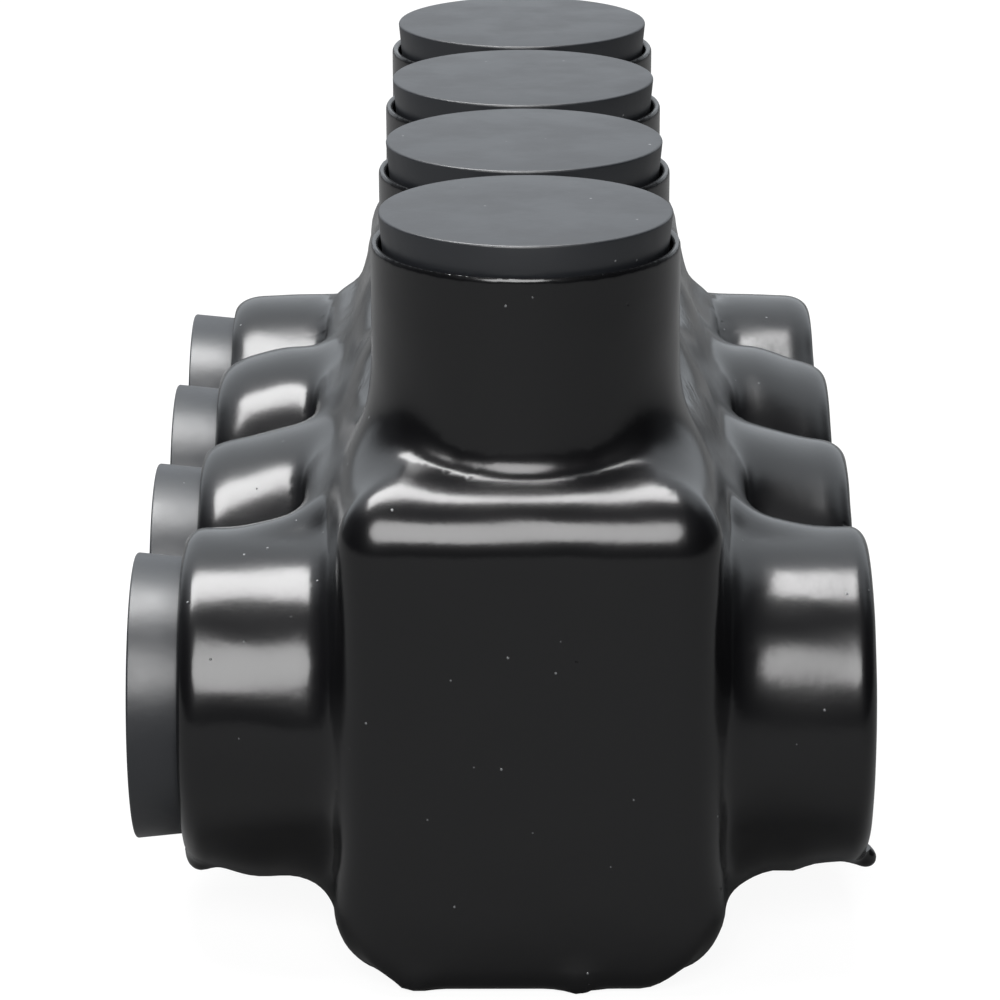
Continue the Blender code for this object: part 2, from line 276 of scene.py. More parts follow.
def shoulder_form(p):
    """The ledge along the sides, out of which the wire collars grow."""
    x, y, z = np.abs(p[:, 0]), np.abs(p[:, 1]), p[:, 2]
    level = np.maximum(z - (BODY_TOP - SHOULDER_DROP), SHOULDER_FOOT - z)
    section = rounded_max(x - BODY_X - SHOULDER_WIDTH, level, SHOULDER_ROUND)
    return rounded_max(section, y - PORTS[-1] - SHOULDER_PAST_PORT, SHOULDER_END_ROUND)


def side_collar_forms(p):
    """Wire collars to both sides, whose lips turn in towards the rims.

    Towards the body each rises along its crest, less along its underside and hardly at its waist.
    """
    x = np.abs(p[:, 0])
    inward = np.maximum(RIM_X - FLARE_SETBACK - x, 0)
    sag = 0
    for at, width, depth in UNDERSIDE_SAGS:
        sag = sag + depth * np.exp(-(((p[:, 0] - at) / width) ** 2))
    for i, y in enumerate(PORTS):
        r = np.hypot(p[:, 1] - y, p[:, 2] - AXIS_Z)
        upward = (p[:, 2] - AXIS_Z) / np.maximum(r, 1)
        lean = math.radians(CREST_LEANS[i])
        towards_crest = upward * math.cos(lean) + (p[:, 1] - y) / np.maximum(r, 1) * math.sin(lean)
        start = np.where(p[:, 0] < 0, CREST_STARTS_PLUGGED[i], CREST_STARTS_OPEN[i])
        crest = smooth_step(towards_crest, CREST_SPREADS[i], 1) * CREST_LIFTS[i]
        crest = crest * smooth_step(RIM_X - FLARE_SETBACK - x, start, CREST_RUNS[i])
        underside = smooth_step(-upward, UNDERSIDE_SPREAD, 1)
        swell = SIDE_COLLAR_RADII[i] + crest + (WAIST_FLARE + underside * UNDERSIDE_FLARE) * inward
        if i == 0:
            swell = swell + sag * underside
        length = np.where(p[:, 0] < 0, LIP_LENGTHS_PLUGGED[i], LIP_LENGTHS_OPEN[i])
        past_rim = (x - RIM_X - RIM_TRIM) * LIP_DEPTHS[i] / length
        collar = rounded_max(r - swell, past_rim, LIP_DEPTHS[i])
        collar = collar + COLLAR_FADE * np.maximum(COLLAR_ROOT - x, 0) ** 2
        if i == 0:
            joined = collar
        else:
            joined = smooth_min(joined, collar, BLEND_SIDE_NEIGHBOURS[i - 1])
    return joined


def top_collar_forms(p):
    """Screw collars, from inside the body to the top rim, flaring slightly towards the foot."""
    joined = None
    flare = TOP_FLARE * np.clip(TOP_FLARE_FROM - p[:, 2], 0, TOP_FLARE_RUN) ** 2
    for y in PORTS:
        r = np.hypot(p[:, 0], p[:, 1] - y)
        above = p[:, 2] - RIM_Z - TOP_TRIM
        collar = rounded_max(r - TOP_COLLAR_RADIUS - flare, above, TOP_COLLAR_ROUND)
        collar = np.maximum(collar, AXIS_Z + TOP_COLLAR_ROOT - p[:, 2])
        joined = collar if joined is None else smooth_min(joined, collar, BLEND_TOP_NEIGHBOURS)
    return joined


def top_reach(p):
    """The fillet at the screw collars' feet, tight in front of the first collar."""
    front = 1 - smooth_step(p[:, 1] - PORTS[0], *FRONT_ALONG)
    middle = 1 - smooth_step(np.abs(p[:, 0]), *FRONT_ACROSS)
    reach = along_ports(p, BLEND_TOP)
    return reach - (reach - BLEND_TOP_FRONT) * front * middle


def ripples(p):
    """The slight unevenness of a dipped skin."""
    x, y, z = p.T
    broad = np.sin(0.43 * x + 1.3 * np.sin(0.29 * y)) * np.sin(0.37 * z + 0.21 * y)
    fine = np.sin(0.9 * z + 0.8 * np.sin(0.5 * x)) * np.sin(0.71 * y + 0.4 * x + 1.1)
    return RIPPLE * (broad + 0.6 * fine)


def skin_form(p):
    """The whole skin before its hollows are cut."""
    sides = smooth_min(side_collar_forms(p), shoulder_form(p), BLEND_SHOULDER)
    low_down = 1 - smooth_step(p[:, 2], *LOW_DOWN)
    high_up = smooth_step(p[:, 2], *HIGH_UP)
    side_reach = along_ports(p, BLEND_SIDE)
    side_reach = side_reach * (1 + UNDERSIDE_REACH * low_down + CREST_REACH * high_up)
    block = smooth_min(body_form(p), sides, side_reach)
    skin = smooth_min(block, top_collar_forms(p), top_reach(p))
    for x, y, z, radius in DRIPS:
        drip = np.linalg.norm(p - (x, y, z), axis=1) - radius
        skin = smooth_min(skin, drip, DRIP_BLEND)
    off_the_ground = smooth_step(p[:, 2], *RIPPLES_START)
    below_rim = 1 - smooth_step(p[:, 2], RIM_Z - RIPPLES_END[0], RIM_Z - RIPPLES_END[1])
    skin = skin + ripples(p) * off_the_ground * below_rim
    return np.maximum(skin, -p[:, 2])


def gradient(p):
    """How the skin's distance changes along X, Y and Z."""
    steps = np.eye(3) * GRADIENT_STEP
    changes = [skin_form(p + step) - skin_form(p - step) for step in steps]
    return np.stack(changes, 1) / (2 * GRADIENT_STEP)


def onto_skin(p):
    """The points moved onto the skin by a few Newton steps."""
    for _ in range(PROJECTION_STEPS):
        slope = gradient(p)
        size = np.maximum((slope * slope).sum(1), 0.25)
        step = (skin_form(p) / size)[:, None] * slope
        length = np.linalg.norm(step, axis=1, keepdims=True)
        p = p - step * np.minimum(1, LONGEST_STEP / np.maximum(length, 1e-9))
    return p


# Mesh helpers

def add_cone(bm, start, end, radius_start, radius_end, sides=TURN_SIDES):
    start, end = Vector(start), Vector(end)
    axis = end - start
    turn = axis.to_track_quat("Z", "X").to_matrix().to_4x4()
    place = Matrix.Translation((start + end) / 2) @ turn
    return bmesh.ops.create_cone(
        bm,
        cap_ends=True,
        segments=sides,
        radius1=radius_start,
        radius2=radius_end,
        depth=axis.length,
        matrix=place,
    )["verts"]


def add_box(bm, low, high):
    low, high = Vector(low), Vector(high)
    place = Matrix.Translation((low + high) / 2) @ Matrix.Diagonal((*(high - low), 1))
    return bmesh.ops.create_cube(bm, size=1, matrix=place)["verts"]


def object_of(name, bm):
    """An object in metres from a bmesh in millimetres."""
    bmesh.ops.recalc_face_normals(bm, faces=bm.faces)
    for vert in bm.verts:
        vert.co *= MM
    mesh = bpy.data.meshes.new(name)
    bm.to_mesh(mesh)
    bm.free()
    obj = bpy.data.objects.new(name, mesh)
    bpy.context.scene.collection.objects.link(obj)
    return obj


def bake_modifiers(obj):
    """The object's mesh as its modifiers leave it."""
    bpy.context.view_layer.update()
    evaluated = obj.evaluated_get(bpy.context.evaluated_depsgraph_get())
    baked = bpy.data.meshes.new_from_object(evaluated)
    obj.modifiers.clear()
    old = obj.data
    obj.data = baked
    bpy.data.meshes.remove(old)


def cut(obj, cutter):
    """Takes a closed cutter out of the object and removes the cutter."""
    modifier = obj.modifiers.new("cut", "BOOLEAN")
    modifier.operation = "DIFFERENCE"
    modifier.solver = "MANIFOLD"
    modifier.object = cutter
    bake_modifiers(obj)
    mesh = cutter.data
    bpy.data.objects.remove(cutter)
    bpy.data.meshes.remove(mesh)


def shade(obj, material):
    obj.data.materials.clear()
    obj.data.materials.append(material)
    obj.data.shade_smooth()
    obj.data.set_sharp_from_angle(angle=SHARP_ANGLE)


def points_of(mesh):
    """The mesh's vertices as an array in millimetres."""
    flat = np.empty(len(mesh.vertices) * 3)
    mesh.vertices.foreach_get("co", flat)
    return flat.reshape(-1, 3) / MM


def set_points(mesh, points):
    mesh.vertices.foreach_set("co", (points * MM).ravel())
    mesh.update()


def arc(centre, radius, start, end, steps):
    """Points of a circular arc in a turned profile, angles in degrees from the +radius axis."""
    angles = np.radians(np.linspace(start, end, steps + 1))
    return [(centre[0] + radius * math.cos(a), centre[1] + radius * math.sin(a)) for a in angles]


def turned_mesh(name, profile, sides=TURN_SIDES):
    """A closed turned mesh about Z from a half section that starts and ends on the axis."""
    bm = bmesh.new()
    rings = []
    for radius, height in profile:
        if radius < 1e-6:
            rings.append([bm.verts.new((0, 0, height))])
            continue
        turns = [2 * math.pi * i / sides for i in range(sides)]
        places = [(radius * math.cos(t), radius * math.sin(t), height) for t in turns]
        rings.append([bm.verts.new(place) for place in places])
    for upper, lower in zip(rings, rings[1:]):
        for i in range(sides):
            j = (i + 1) % sides
            corners = [upper[i % len(upper)], lower[i % len(lower)]]
            corners += [lower[j % len(lower)], upper[j % len(upper)]]
            distinct = [v for k, v in enumerate(corners) if v not in corners[:k]]
            bm.faces.new(distinct)
    bmesh.ops.recalc_face_normals(bm, faces=bm.faces)
    for vert in bm.verts:
        vert.co *= MM
    mesh = bpy.data.meshes.new(name)
    bm.to_mesh(mesh)
    bm.free()
    return mesh


# Jacket

def rough_skin():
    """The forms of the skin as plain overlapping solids, remeshed into one even net."""
    bm = bmesh.new()
    add_box(bm, (-BODY_X, -END_Y, 0.3), (BODY_X, END_Y, BODY_TOP))
    ledge_x = BODY_X + SHOULDER_WIDTH
    ledge_y = PORTS[-1] + SHOULDER_PAST_PORT
    add_box(bm, (-ledge_x, -ledge_y, SHOULDER_FOOT), (ledge_x, ledge_y, BODY_TOP - SHOULDER_DROP))
    for y in PORTS:
        top = RIM_Z + TOP_TRIM
        add_cone(bm, (0, y, AXIS_Z), (0, y, top), TOP_COLLAR_RADIUS, TOP_COLLAR_RADIUS)
        add_cone(bm, (0, y, BODY_TOP - 4), (0, y, BODY_TOP + 6), BODY_X, TOP_COLLAR_RADIUS)
        radius = SIDE_COLLAR_RADII[0]
        add_cone(bm, (-RIM_X, y, AXIS_Z), (RIM_X, y, AXIS_Z), radius, radius)
        for side in (-1, 1):
            inner, outer = (side * BODY_X, y, AXIS_Z), (side * RIM_X * 0.9, y, AXIS_Z)
            add_cone(bm, inner, outer, radius + 1.5, radius)
    for x, y, z, radius in DRIPS:
        place = Matrix.Translation((x, y, z))
        bmesh.ops.create_icosphere(bm, subdivisions=2, radius=radius + 0.3, matrix=place)
    skin = object_of("jacket_skin", bm)
    remesh = skin.modifiers.new("run_together", "REMESH")
    remesh.mode = "VOXEL"
    remesh.voxel_size = VOXEL * MM
    smooth = skin.modifiers.new("even_out", "SMOOTH")
    smooth.iterations = SMOOTHING
    bake_modifiers(skin)
    set_points(skin.data, onto_skin(points_of(skin.data)))
    relax(skin)
    return skin


def relax(skin):
    """Evens out the net and puts it back on the skin."""
    smooth = skin.modifiers.new("even_out", "SMOOTH")
    smooth.iterations = RELAXING
    bake_modifiers(skin)
    set_points(skin.data, onto_skin(points_of(skin.data)))


def refine_rims(skin):
    """Splits the faces near the rims in narrowing bands, as edges there are finer than the net."""
    bm = bmesh.new()
    bm.from_mesh(skin.data)
    for near_x, near_z in RIM_BANDS:
        edges = []
        for edge in bm.edges:
            middle = (edge.verts[0].co + edge.verts[1].co) / (2 * MM)
            at_side = abs(middle.x) > RIM_X - near_x
            at_top = middle.z > RIM_Z - near_z
            if at_side or at_top:
                edges.append(edge)
        bmesh.ops.subdivide_edges(bm, edges=edges, cuts=1, use_grid_fill=True)
    bm.to_mesh(skin.data)
    bm.free()
    set_points(skin.data, onto_skin(points_of(skin.data)))
    relax(skin)


def make_jacket(material):
    jacket = rough_skin()
    refine_rims(jacket)
    cut_hollows(jacket)
    jacket.name = "jacket_skin"
    shade(jacket, material)
    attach(jacket, "connector")
    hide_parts("insulating_jacket")
    return jacket


def add_block_form(bm, grown):
    """The terminal block's outline grown by a gap, with well-rounded long edges at its foot."""
    room = Vector((grown,) * 3)
    add_box(bm, BLOCK_LOW - room, BLOCK_HIGH + room)
    foot = [
        e
        for e in bm.edges
        if all(v.co.z < BLOCK_LOW.z + 1 for v in e.verts) and e.calc_length() > BLOCK_HIGH.y
    ]
    bmesh.ops.bevel(bm, geom=foot, offset=BLOCK_FOOT, segments=8, profile=0.5, affect="EDGES")
    sharp = [e for e in bm.edges if e.calc_face_angle(0) > 1]
    bmesh.ops.bevel(bm, geom=sharp, offset=BLOCK_EDGE, segments=4, profile=0.5, affect="EDGES")


def collar_hollow(base, outward, length):
    """The drafted hollow of one collar with a rounded mouth, as a closed turned cutter."""
    slope = (COLLAR_MOUTH - COLLAR_BORE) / length
    flared = COLLAR_MOUTH + MOUTH_ROUND
    profile = [(0, length + CLEAR), (flared, length + CLEAR)]
    profile += arc((flared, length - MOUTH_ROUND), MOUTH_ROUND, 90, 180, 4)
    profile += [(COLLAR_BORE - slope, -1), (0, -1)]
    mesh = turned_mesh("collar_hollow", profile)
    turn = Vector(outward).to_track_quat("Z", "X").to_matrix().to_4x4()
    mesh.transform(Matrix.Translation(Vector(base) * MM) @ turn)
    obj = bpy.data.objects.new("collar_hollow", mesh)
    bpy.context.scene.collection.objects.link(obj)
    return obj


def cut_hollows(jacket):
    """Room for the block, a bore in every collar, and rims cut flat."""
    core = bmesh.new()
    add_block_form(core, BLOCK_GAP)
    cut(jacket, object_of("block_room", core))
    for y in PORTS:
        for side in (-1, 1):
            base = (side * BLOCK_HIGH.x, y, AXIS_Z)
            cut(jacket, collar_hollow(base, (side, 0, 0), RIM_X - BLOCK_HIGH.x))
        cut(jacket, collar_hollow((0, y, BLOCK_HIGH.z), (0, 0, 1), RIM_Z - BLOCK_HIGH.z))
    for side in (-1, 1):
        slab = bmesh.new()
        near, far = side * RIM_X, side * (RIM_X + TRIM_DEPTH)
        low = (min(near, far), -TRIM_SPAN, TRIM_FROM)
        add_box(slab, low, (max(near, far), TRIM_SPAN, TRIM_SPAN))
        cut(jacket, object_of("rim_trim", slab))
    slab = bmesh.new()
    add_box(slab, (-TRIM_SPAN, -TRIM_SPAN, RIM_Z), (TRIM_SPAN, TRIM_SPAN, RIM_Z + TRIM_DEPTH))
    cut(jacket, object_of("rim_trim", slab))


# Plugs

def plug_profile(length, rim_radius):
    """Half section of a plug, outer face at height 0 and nose down."""
    top = rim_radius
    shoulder = rim_radius - PLUG_TAPER
    stem = shoulder - PLUG_STEM_STEP
    space = (length - PLUG_NOSE - PLUG_SHOULDER) / (PLUG_RIB_COUNT + 1)
    points = [(0, 0), (top * 0.5, 0)]
    points += arc((top - PLUG_EDGE, -PLUG_EDGE), PLUG_EDGE, 90, 0, 4)
    points += arc((shoulder - PLUG_EDGE, PLUG_EDGE - PLUG_SHOULDER), PLUG_EDGE, 0, -90, 3)
    points += [(stem, -PLUG_SHOULDER)]
    for i in range(PLUG_RIB_COUNT):
        middle = -PLUG_SHOULDER - (i + 1) * space
        points += [(stem, middle + space / 4)]
        points += arc((stem - PLUG_RIB_HEIGHT, middle), 2 * PLUG_RIB_HEIGHT, 50, -50, 4)
        points += [(stem, middle - space / 4)]
    points += arc((stem - PLUG_NOSE, PLUG_NOSE - length), PLUG_NOSE, 0, -90, 4)
    dish = stem - PLUG_WALL
    floor = PLUG_DISH_DEPTH - length
    points += [(dish, -length), (dish - PLUG_DISH_DRAFT, floor), (0, floor)]
    return points


def make_plugs(material):
    """A plug in each screw collar, and one lying on its side in each closed wire collar."""
    on_its_side = Matrix.Rotation(-math.pi / 2, 4, "Y")
    for i in range(1, PORT_COUNT + 1):
        low, high = mm_box(f"screw_plug_{i}")
        middle = (low + high) / 2
        place = Matrix.Translation(Vector((middle.x, middle.y, high.z)) * MM)
        radius = (high.y - low.y) / 2
        make_plug(f"screw_cap_{i}", f"screw_plug_{i}", place, high.z - low.z, radius, material)
        low, high = mm_box(f"entry_plug_{i}")
        middle = (low + high) / 2
        place = Matrix.Translation(Vector((low.x, middle.y, middle.z)) * MM) @ on_its_side
        radius = (high.y - low.y) / 2
        make_plug(f"entry_cap_{i}", f"entry_plug_{i}", place, high.x - low.x, radius, material)


def make_plug(name, node, place, length, radius, material):
    mesh = turned_mesh(name, plug_profile(length, radius))
    mesh.transform(place)
    plug = bpy.data.objects.new(name, mesh)
    bpy.context.scene.collection.objects.link(plug)
    shade(plug, material)
    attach(plug, node)
    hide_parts(node)


# Block and screws

def helical_mesh(name, low, high, radius_at):
    """A closed column about Z whose radius changes with height and turn, as a thread's does."""
    rows = round((high - low) / THREAD_ROW)
    bm = bmesh.new()
    rings = []
    for row in range(rows + 1):
        height = low + (high - low) * row / rows
        ring = []
        for i in range(THREAD_SIDES):
            turn = i / THREAD_SIDES
            radius = radius_at(height, turn)
            angle = 2 * math.pi * turn
            ring.append(bm.verts.new((radius * math.cos(angle), radius * math.sin(angle), height)))
        rings.append(ring)
    for lower, upper in zip(rings, rings[1:]):
        for i in range(THREAD_SIDES):
            j = (i + 1) % THREAD_SIDES
            bm.faces.new((lower[i], lower[j], upper[j], upper[i]))
    bm.faces.new(rings[0])
    bm.faces.new(rings[-1])
    return object_of(name, bm)


def ridge(height, turn):
    """How high a thread stands at a place, from 0 at its root to 1 at its crest."""
    phase = (height / THREAD_PITCH - turn) % 1
    return min(max(1.3 * (1 - abs(2 * phase - 1)) - 0.15, 0), 1)


def cut_cone(obj, low, high, radius_low, radius_high, sides=TURN_SIDES):
    """Takes an upright cone on the Z axis out of the object."""
    bm = bmesh.new()
    add_cone(bm, (0, 0, low), (0, 0, high), radius_low, radius_high, sides)
    cut(obj, object_of("cone", bm))


def make_screws(material):
    """Socket set screws with a helical thread, a point and a hexagon socket."""
    for i, y in enumerate(PORTS, 1):
        low, high = mm_box(f"set_screw_{i}")
        crest = (high.y - low.y) / 2

        def radius_at(height, turn):
            thread = crest - THREAD_DEPTH * (1 - ridge(height, turn))
            point = crest - SCREW_POINT + height - low.z
            top = crest - SCREW_TOP_CHAMFER + high.z - height
            return min(thread, point, top)

        screw = helical_mesh(f"socket_screw_{i}", low.z, high.z, radius_at)
        corner = HEX_ACROSS_FLATS / math.sqrt(3)
        drill = HEX_ACROSS_FLATS / 2 - 0.1
        floor = high.z - HEX_DEPTH
        narrow, wide = corner - SOCKET_CHAMFER, corner + SOCKET_CHAMFER
        cut_cone(screw, floor, high.z + 1, corner, corner, sides=6)
        cut_cone(screw, high.z - 0.9, high.z + 0.5, narrow, wide)
        cut_cone(screw, floor - DRILL_POINT, floor + 0.1, 0.05, drill)
        screw.data.transform(Matrix.Translation((0, y * MM, 0)))
        shade(screw, material)
        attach(screw, f"set_screw_{i}")
        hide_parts(f"set_screw_{i}")


def make_block(material):
    """The terminal block with drilled wire bores and tapped holes."""
    bm = bmesh.new()
    add_block_form(bm, 0)
    block = object_of("drilled_block", bm)
    half = BLOCK_HIGH.x
    flared = BORE_RADIUS + BORE_CHAMFER + 1
    bore = [(0, half + 1), (flared, half + 1), (BORE_RADIUS, half - BORE_CHAMFER)]
    bore += [(radius, -height) for radius, height in reversed(bore)]
    along_x = Matrix.Rotation(math.pi / 2, 4, "Y")
    hole_radius = mm_box("set_screw_1")[1].x + SCREW_GAP

    def radius_at(height, turn):
        fade = smooth_step(height - AXIS_Z, *THREAD_FADE)
        groove = THREAD_DEPTH * ridge(height, turn) * fade
        chamfer = BORE_CHAMFER + height - BLOCK_HIGH.z
        return hole_radius + max(groove, chamfer)

    for y in PORTS:
        mesh = turned_mesh("wire_bore", bore)
        mesh.transform(Matrix.Translation(Vector((0, y, AXIS_Z)) * MM) @ along_x)
        cutter = bpy.data.objects.new("wire_bore", mesh)
        bpy.context.scene.collection.objects.link(cutter)
        cut(block, cutter)
        tapped = helical_mesh("tapped_hole", AXIS_Z, BLOCK_HIGH.z + 1, radius_at)
        tapped.data.transform(Matrix.Translation((0, y * MM, 0)))
        cut(block, tapped)
    shade(block, material)
    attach(block, "connector")
    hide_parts("terminal_block")


# Materials

def new_material(name, colour, roughness, metallic=0.0):
    """A Principled material and the parts of its node tree that the callers add to."""
    material = bpy.data.materials.new(name)
    material.use_nodes = True
    tree = material.node_tree
    shader = tree.nodes["Principled BSDF"]
    shader.inputs["Base Color"].default_value = (*colour, 1)
    shader.inputs["Roughness"].default_value = roughness
    shader.inputs["Metallic"].default_value = metallic
    return material, tree, shader


def link(tree, value, socket):
    """Sets a socket to a number, or links it to another node's output."""
    if isinstance(value, (int, float)):
        socket.default_value = value
    else:
        tree.links.new(value, socket)


def map_range(tree, value, low, high, to_low, to_high):
    node = tree.nodes.new("ShaderNodeMapRange")
    node.interpolation_type = "SMOOTHSTEP"
    node.inputs["From Min"].default_value = low
    node.inputs["From Max"].default_value = high
    node.inputs["To Min"].default_value = to_low
    node.inputs["To Max"].default_value = to_high
    tree.links.new(value, node.inputs["Value"])
    return node.outputs["Result"]


def math_node(tree, operation, first, second):
    node = tree.nodes.new("ShaderNodeMath")
    node.operation = operation
    link(tree, first, node.inputs[0])
    link(tree, second, node.inputs[1])
    return node.outputs[0]


def band(tree, value, starts, full, fades, ends):
    """1 between full and fades, running smoothly to 0 at starts and ends."""
    rise = map_range(tree, value, starts, full, 0.0, 1.0)
    fall = map_range(tree, value, fades, ends, 1.0, 0.0)
    return math_node(tree, "MULTIPLY", rise, fall)


def object_place(tree):
    return tree.nodes.new("ShaderNodeTexCoord").outputs["Object"]


def stretched(tree, place, stretch):
    node = tree.nodes.new("ShaderNodeMapping")
    node.inputs["Scale"].default_value = stretch
    tree.links.new(place, node.inputs["Vector"])
    return node.outputs[0]


def noise(tree, place, scale, detail=2.0):
    node = tree.nodes.new("ShaderNodeTexNoise")
    node.inputs["Scale"].default_value = scale
    node.inputs["Detail"].default_value = detail
    tree.links.new(place, node.inputs["Vector"])
    return node.outputs["Fac"]


def spots(tree, place, scale, radius, share):
    """Soft round spots, at most one in each cell of a random net, in a share of the cells."""
    node = tree.nodes.new("ShaderNodeTexVoronoi")
    node.inputs["Scale"].default_value = scale
    tree.links.new(place, node.inputs["Vector"])
    near = map_range(tree, node.outputs["Distance"], radius * 0.4, radius, 1.0, 0.0)
    draw = tree.nodes.new("ShaderNodeSeparateColor")
    tree.links.new(node.outputs["Color"], draw.inputs[0])
    return math_node(tree, "MULTIPLY", near, math_node(tree, "LESS_THAN", draw.outputs[0], share))


def bump(tree, height, distance, strength, below=None):
    """A bump of a stated height in metres, on top of the bumps below it."""
    node = tree.nodes.new("ShaderNodeBump")
    node.inputs["Distance"].default_value = distance
    node.inputs["Strength"].default_value = strength
    tree.links.new(height, node.inputs["Height"])
    if below is not None:
        tree.links.new(below, node.inputs["Normal"])
    return node.outputs["Normal"]


def blend_colours(tree, share, first, second, socket):
    node = tree.nodes.new("ShaderNodeMix")
    node.data_type = "RGBA"
    node.inputs["A"].default_value = (*first, 1)
    node.inputs["B"].default_value = (*second, 1)
    link(tree, share, node.inputs["Factor"])
    tree.links.new(node.outputs["Result"], socket)


def turned_across(tree, first, second, angle):
    """Two coordinates turned by an angle, as a pair across and along."""
    across = math_node(tree, "MULTIPLY", first, math.cos(angle))
    across = math_node(tree, "ADD", across, math_node(tree, "MULTIPLY", second, math.sin(angle)))
    along = math_node(tree, "MULTIPLY", second, math.cos(angle))
    along = math_node(tree, "SUBTRACT", along, math_node(tree, "MULTIPLY", first, math.sin(angle)))
    return across, along


def pleats(tree, place):
    """Fine wrinkles in patches along the ledges beside the screw collars."""
    parts = tree.nodes.new("ShaderNodeSeparateXYZ")
    tree.links.new(place, parts.inputs[0])
    aside = math_node(tree, "ABSOLUTE", parts.outputs["X"], 0)
    along_row = math_node(tree, "ABSOLUTE", parts.outputs["Y"], 0)
    on_ledge = band(tree, aside, *PLEATS_ASIDE)
    level = band(tree, parts.outputs["Z"], *PLEATS_UP)
    between_ends = map_range(tree, along_row, *PLEATS_END, 1.0, 0.0)
    patches = map_range(tree, noise(tree, place, 110), 0.44, 0.66, 0.0, 1.0)
    where = math_node(tree, "MULTIPLY", on_ledge, level)
    where = math_node(tree, "MULTIPLY", where, math_node(tree, "MULTIPLY", patches, between_ends))
    across, along = turned_across(tree, aside, parts.outputs["Y"], PLEATS_LEAN)
    folded = tree.nodes.new("ShaderNodeCombineXYZ")
    tree.links.new(math_node(tree, "MULTIPLY", across, PLEATS_STRETCH), folded.inputs["X"])
    tree.links.new(along, folded.inputs["Y"])
    tree.links.new(parts.outputs["Z"], folded.inputs["Z"])
    return math_node(tree, "MULTIPLY", noise(tree, folded.outputs[0], 260), where)


def jacket_material():
    """Black dipped vinyl: a glossy skin with soft waves, orange peel, pits, pleats and dust."""
    material, tree, shader = new_material("jacket_vinyl", VINYL_BLACK, 0.2)
    shader.inputs["Coat Weight"].default_value = 0.16
    shader.inputs["Coat Roughness"].default_value = 0.36
    place = object_place(tree)
    relief = bump(tree, noise(tree, place, 130, 1.0), 0.0006, 0.10)
    relief = bump(tree, noise(tree, place, 1100), 0.00008, 0.10, relief)
    relief = bump(tree, spots(tree, place, 240, 0.075, 0.20), -0.0001, 0.5, relief)
    relief = bump(tree, pleats(tree, place), 0.0003, 0.6, relief)
    dust = spots(tree, place, 430, 0.065, 0.35)
    relief = bump(tree, dust, 0.00006, 0.6, relief)
    tree.links.new(relief, shader.inputs["Normal"])
    tree.links.new(relief, shader.inputs["Coat Normal"])
    blend_colours(tree, dust, VINYL_BLACK, VINYL_DUST, shader.inputs["Base Color"])
    smears = noise(tree, place, 70, 4.0)
    tree.links.new(map_range(tree, smears, 0.35, 0.70, 0.17, 0.24), shader.inputs["Roughness"])
    return material


def rubber_material():
    """Dark blue-grey moulded rubber with a faint sheen, scuffs and dust."""
    material, tree, shader = new_material("plug_rubber", RUBBER_GREY, 0.42)
    shader.inputs["Specular IOR Level"].default_value = 0.75
    place = object_place(tree)
    relief = bump(tree, noise(tree, place, 1600), 0.00006, 0.15)
    relief = bump(tree, noise(tree, place, 240, 3.0), 0.0003, 0.08, relief)
    dust = spots(tree, place, 520, 0.085, 0.16)
    relief = bump(tree, dust, 0.00006, 0.6, relief)
    tree.links.new(relief, shader.inputs["Normal"])
    blend_colours(tree, dust, RUBBER_GREY, RUBBER_DUST, shader.inputs["Base Color"])
    scuffs = noise(tree, place, 150, 5.0)
    tree.links.new(map_range(tree, scuffs, 0.35, 0.70, 0.37, 0.48), shader.inputs["Roughness"])
    return material


def aluminium_material(name, stretch, roughness):
    """Bare aluminium with fine tool marks across the stretched direction."""
    material, tree, shader = new_material(name, ALUMINIUM_BRIGHT, roughness, 1.0)
    place = object_place(tree)
    marks = noise(tree, stretched(tree, place, stretch), 1.0, 3.0)
    relief = bump(tree, marks, 0.00004, 0.25)
    relief = bump(tree, noise(tree, place, 700), 0.00004, 0.15, relief)
    tree.links.new(relief, shader.inputs["Normal"])
    tarnish = noise(tree, place, 90, 4.0)
    blend_colours(tree, tarnish, ALUMINIUM_DULL, ALUMINIUM_BRIGHT, shader.inputs["Base Color"])
    wear = map_range(tree, marks, 0.3, 0.7, roughness - 0.06, roughness + 0.08)
    tree.links.new(wear, shader.inputs["Roughness"])
    return material


# Stage

def add_camera():
    data = bpy.data.cameras.new("camera")
    data.lens = CAMERA_LENS
    data.clip_start = 0.01
    camera = bpy.data.objects.new("camera", data)
    turn = Matrix.Rotation(math.radians(CAMERA_TURN), 4, "Z")
    turn = turn @ Matrix.Rotation(math.radians(CAMERA_TILT), 4, "X")
    turn = turn @ Matrix.Rotation(math.radians(CAMERA_ROLL), 4, "Z")
    place = (Vector(CAMERA_FROM_AXIS) + Vector((0, 0, AXIS_Z))) * MM
    camera.matrix_world = Matrix.Translation(place) @ turn
    bpy.context.scene.collection.objects.link(camera)
    bpy.context.scene.camera = camera


def add_softbox(name, elevation, aside, width, height, radiance, shape="RECTANGLE"):
    """A soft lamp aimed at the part.

    Elevation runs in degrees from the camera's side overhead, aside in degrees towards +X.
    """
    data = bpy.data.lights.new(name, "AREA")
    data.shape = shape
    data.size, data.size_y = width, height
    area = width * height * (1 if shape == "RECTANGLE" else math.pi / 4)
    data.energy = radiance * math.pi * area
    lamp = bpy.data.objects.new(name, data)
    turn = Matrix.Rotation(math.radians(90 - elevation), 4, "X")
    turn = turn @ Matrix.Rotation(math.radians(aside), 4, "Y")
    away = Matrix.Translation((0, 0, LAMP_DISTANCE))
    lamp.matrix_world = Matrix.Translation(LAMPS_AIM) @ turn @ away
    bpy.context.scene.collection.objects.link(lamp)


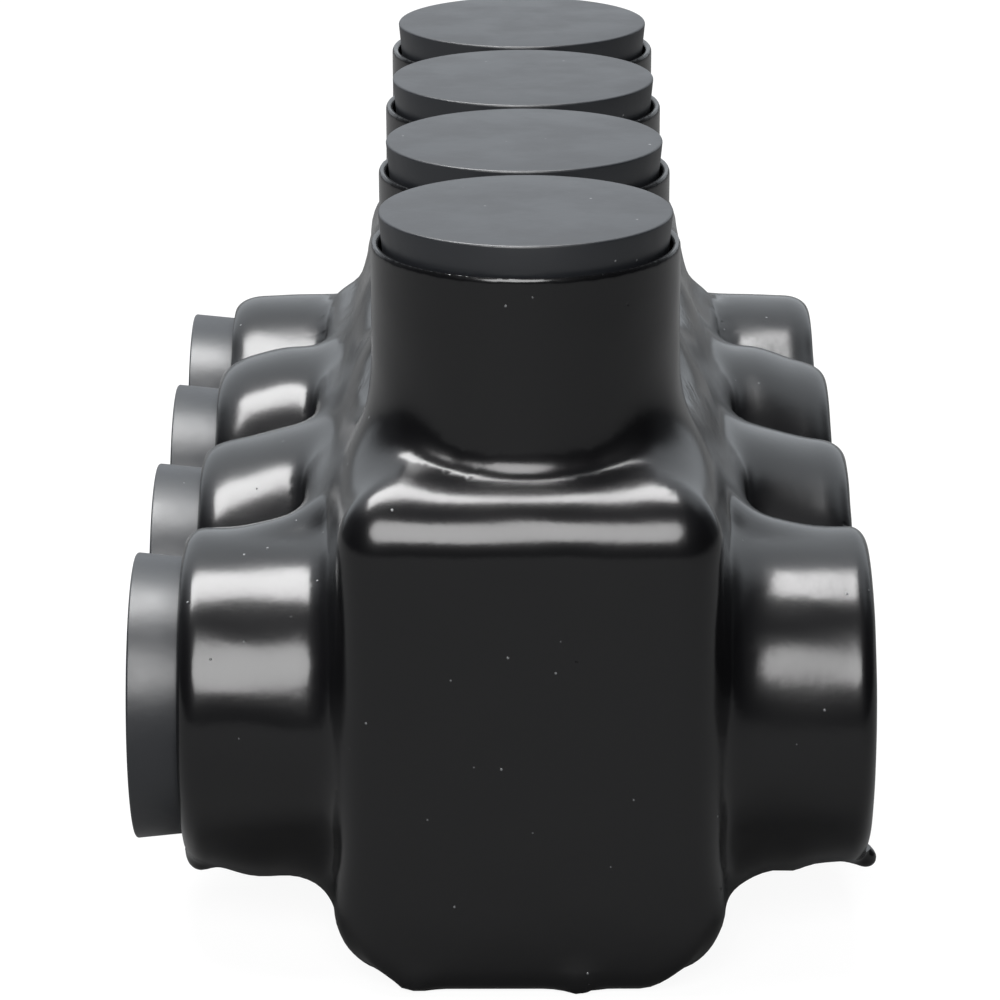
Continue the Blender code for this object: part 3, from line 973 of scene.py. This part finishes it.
def add_floor():
    """A pale floor that takes the part's shadow, and reflects in it as a darker grey."""
    bm = bmesh.new()
    bmesh.ops.create_grid(bm, x_segments=1, y_segments=1, size=FLOOR_SIZE)
    floor = object_of("floor", bm)
    floor.location.z = -FLOOR_BELOW
    material = bpy.data.materials.new("pale_floor")
    material.use_nodes = True
    tree = material.node_tree
    shader = tree.nodes["Principled BSDF"]
    shader.inputs["Roughness"].default_value = 1.0
    shader.inputs["Specular IOR Level"].default_value = 0.0
    shader.inputs["Emission Color"].default_value = (1, 1, 1, 1)
    seen = tree.nodes.new("ShaderNodeLightPath").outputs["Is Camera Ray"]
    as_light, as_seen = (FLOOR_AS_LIGHT,) * 3, (FLOOR_SEEN,) * 3
    blend_colours(tree, seen, as_light, as_seen, shader.inputs["Base Color"])
    glow = math_node(tree, "MULTIPLY", seen, FLOOR_GLOW)
    tree.links.new(glow, shader.inputs["Emission Strength"])
    floor.data.materials.append(material)


def add_world():
    """White all round for the camera. As light, bright behind the part and dim in front of it."""
    world = bpy.data.worlds.new("studio")
    bpy.context.scene.world = world
    world.use_nodes = True
    tree = world.node_tree
    background = tree.nodes["Background"]
    direction = tree.nodes.new("ShaderNodeTexCoord")
    parts = tree.nodes.new("ShaderNodeSeparateXYZ")
    tree.links.new(direction.outputs["Generated"], parts.inputs[0])
    behind = map_range(tree, parts.outputs["Y"], -0.10, 0.40, 0.03, 1.0)
    rising = map_range(tree, parts.outputs["Z"], 0.0, 0.85, 0.85, 1.15)
    aside = math_node(tree, "ABSOLUTE", parts.outputs["X"], 0)
    sideways = map_range(tree, aside, 0.58, 0.86, 1.0, 0.08)
    light = math_node(tree, "MULTIPLY", math_node(tree, "MULTIPLY", behind, sideways), rising)
    on_camera = tree.nodes.new("ShaderNodeLightPath").outputs["Is Camera Ray"]
    seen = math_node(tree, "MAXIMUM", light, on_camera)
    tree.links.new(seen, background.inputs["Strength"])
    blend_colours(tree, on_camera, SKY_TINT, (1, 1, 1), background.inputs["Color"])


def main():
    add_camera()
    add_softbox("overhead_softbox", 98, -12, 0.84, 0.48, 15.5)
    add_softbox("front_softbox", 37, -7, 0.80, 0.66, 8.8, "ELLIPSE")
    add_floor()
    add_world()
    make_jacket(jacket_material())
    make_plugs(rubber_material())
    make_block(aluminium_material("block_aluminium", (60, 2600, 2600), 0.34))
    make_screws(aluminium_material("screw_aluminium", (300, 300, 3200), 0.30))
    bpy.context.scene.view_settings.view_transform = "Standard"


main()
